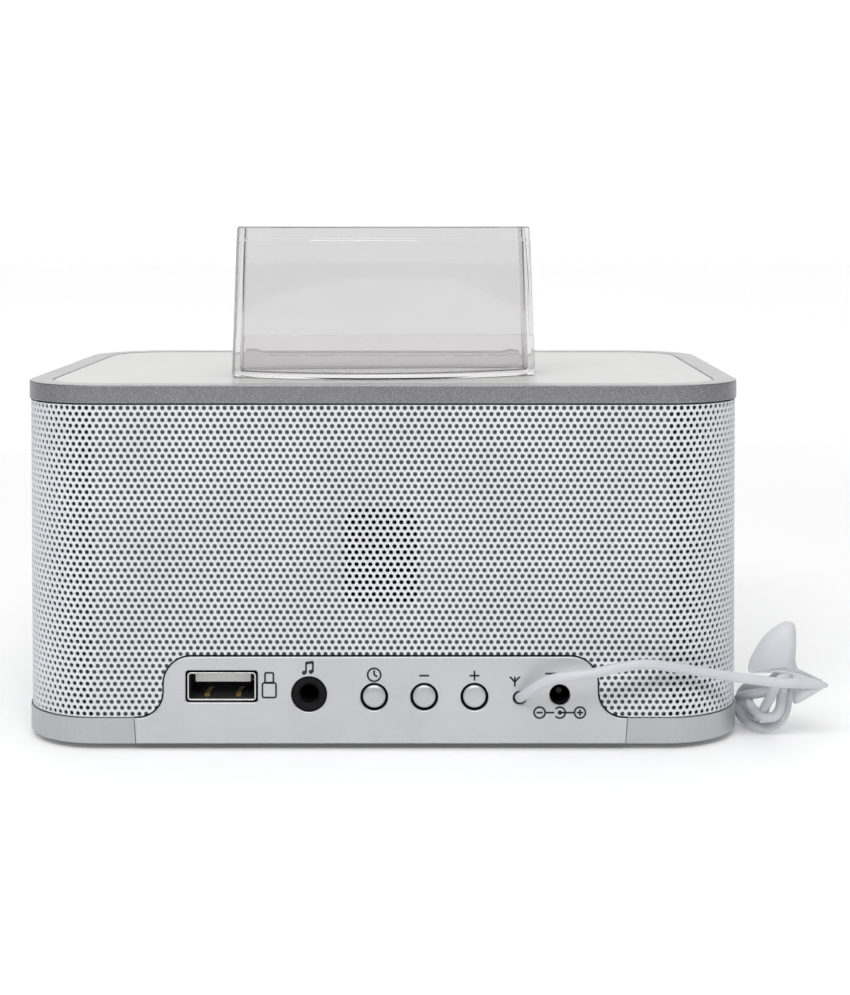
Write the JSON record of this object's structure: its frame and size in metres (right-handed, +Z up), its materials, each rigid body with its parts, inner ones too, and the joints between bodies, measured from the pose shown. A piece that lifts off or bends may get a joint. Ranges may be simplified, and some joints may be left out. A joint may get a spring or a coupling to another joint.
{
  "type": "clock radio",
  "caption": "Compact table clock radio with a wrap-round perforated grille, silver base and rear connector panel, clear phone tray on top and a soft wire antenna.",
  "frame": {"origin": "on the surface the radio stands on, under the middle of its body", "axes": "+Z up, +Y out of the rear connector panel, -Y out of the front display, +X to the right seen from the front"},
  "size_m": [0.153, 0.0989, 0.0998],
  "materials": {
    "white_painted_steel": "satin white paint on perforated sheet",
    "dark_silver_band": "fine metallic satin",
    "silver_paint": "fine-grained metallic satin",
    "white_plastic": "smooth satin",
    "clear_acrylic": "clear, polished",
    "grey_plastic": "moulded, matt",
    "black_plastic": "moulded, matt",
    "smoked_window": "smoked, polished",
    "black_rubber": "soft, matt",
    "bright_steel": "plated",
    "aluminium": "extruded",
    "ferrite": "dark, matt",
    "cone_paper": "black pulp",
    "circuit_board": "green solder mask",
    "white_insulator": "white moulding",
    "white_vinyl": "soft white vinyl"
  },
  "bodies": {
    "radio_body": {"grille": "white_painted_steel", "top_band": "dark_silver_band", "base_ring": "silver_paint", "rear_panel": "silver_paint", "top_panel": "white_plastic", "cabinet": "grey_plastic", "port_tube": "black_plastic", "bottom_plate": "black_plastic", "aux_jack": "black_plastic", "dc_jack": "black_plastic", "supply_capacitor": "black_plastic", "antenna_terminal": "black_plastic", "time_switch": "black_plastic", "minus_switch": "black_plastic", "plus_switch": "black_plastic", "alarm_button_switch": "black_plastic", "source_button_switch": "black_plastic", "snooze_bar_switch": "black_plastic", "volume_down_button_switch": "black_plastic", "volume_up_button_switch": "black_plastic", "display_module": "black_plastic", "display_window": "smoked_window", "foot_1": "black_rubber", "foot_2": "black_rubber", "foot_3": "black_rubber", "foot_4": "black_rubber", "bottom_screw_1": "bright_steel", "bottom_screw_2": "bright_steel", "bottom_screw_3": "bright_steel", "bottom_screw_4": "bright_steel", "usb_shell": "bright_steel", "dc_pin": "bright_steel", "speaker_frame_left": "bright_steel", "speaker_frame_right": "bright_steel", "tuner_shield": "bright_steel", "amplifier_heatsink": "aluminium", "speaker_magnet_left": "ferrite", "speaker_magnet_right": "ferrite", "speaker_cone_left": "cone_paper", "speaker_cone_right": "cone_paper", "main_board": "circuit_board", "rear_board": "circuit_board", "top_board": "circuit_board", "display_board": "circuit_board", "usb_tongue": "white_insulator", "antenna_wire": "white_vinyl", "antenna_hank": "white_vinyl", "antenna_tie": "white_vinyl"},
    "phone_tray_body": {"phone_tray": "clear_acrylic"},
    "time_button_body": {"time_button": "silver_paint", "time_plunger": "black_plastic"},
    "minus_button_body": {"minus_button": "silver_paint", "minus_plunger": "black_plastic"},
    "plus_button_body": {"plus_button": "silver_paint", "plus_plunger": "black_plastic"},
    "alarm_button_body": {"alarm_button": "white_plastic"},
    "source_button_body": {"source_button": "white_plastic"},
    "snooze_bar_body": {"snooze_bar": "white_plastic"},
    "volume_down_button_body": {"volume_down_button": "white_plastic"},
    "volume_up_button_body": {"volume_up_button": "white_plastic"}
  },
  "joints": [
    {"name": "phone_tray_lift", "type": "slide", "parent": "radio_body", "child": "phone_tray_body", "axis": [0, 0, 1], "range_m": [0, 0.035]},
    {"name": "time_button_press", "type": "slide", "parent": "radio_body", "child": "time_button_body", "axis": [0, -1, 0], "range_m": [0, 0.0006], "stiffness_N_per_m": 400},
    {"name": "minus_button_press", "type": "slide", "parent": "radio_body", "child": "minus_button_body", "axis": [0, -1, 0], "range_m": [0, 0.0006], "stiffness_N_per_m": 400},
    {"name": "plus_button_press", "type": "slide", "parent": "radio_body", "child": "plus_button_body", "axis": [0, -1, 0], "range_m": [0, 0.0006], "stiffness_N_per_m": 400},
    {"name": "alarm_button_press", "type": "slide", "parent": "radio_body", "child": "alarm_button_body", "axis": [0, 0, -1], "range_m": [0, 0.0006], "stiffness_N_per_m": 400},
    {"name": "source_button_press", "type": "slide", "parent": "radio_body", "child": "source_button_body", "axis": [0, 0, -1], "range_m": [0, 0.0006], "stiffness_N_per_m": 400},
    {"name": "snooze_bar_press", "type": "slide", "parent": "radio_body", "child": "snooze_bar_body", "axis": [0, 0, -1], "range_m": [0, 0.0006], "stiffness_N_per_m": 400},
    {"name": "volume_down_button_press", "type": "slide", "parent": "radio_body", "child": "volume_down_button_body", "axis": [0, 0, -1], "range_m": [0, 0.0006], "stiffness_N_per_m": 400},
    {"name": "volume_up_button_press", "type": "slide", "parent": "radio_body", "child": "volume_up_button_body", "axis": [0, 0, -1], "range_m": [0, 0.0006], "stiffness_N_per_m": 400}
  ]
}
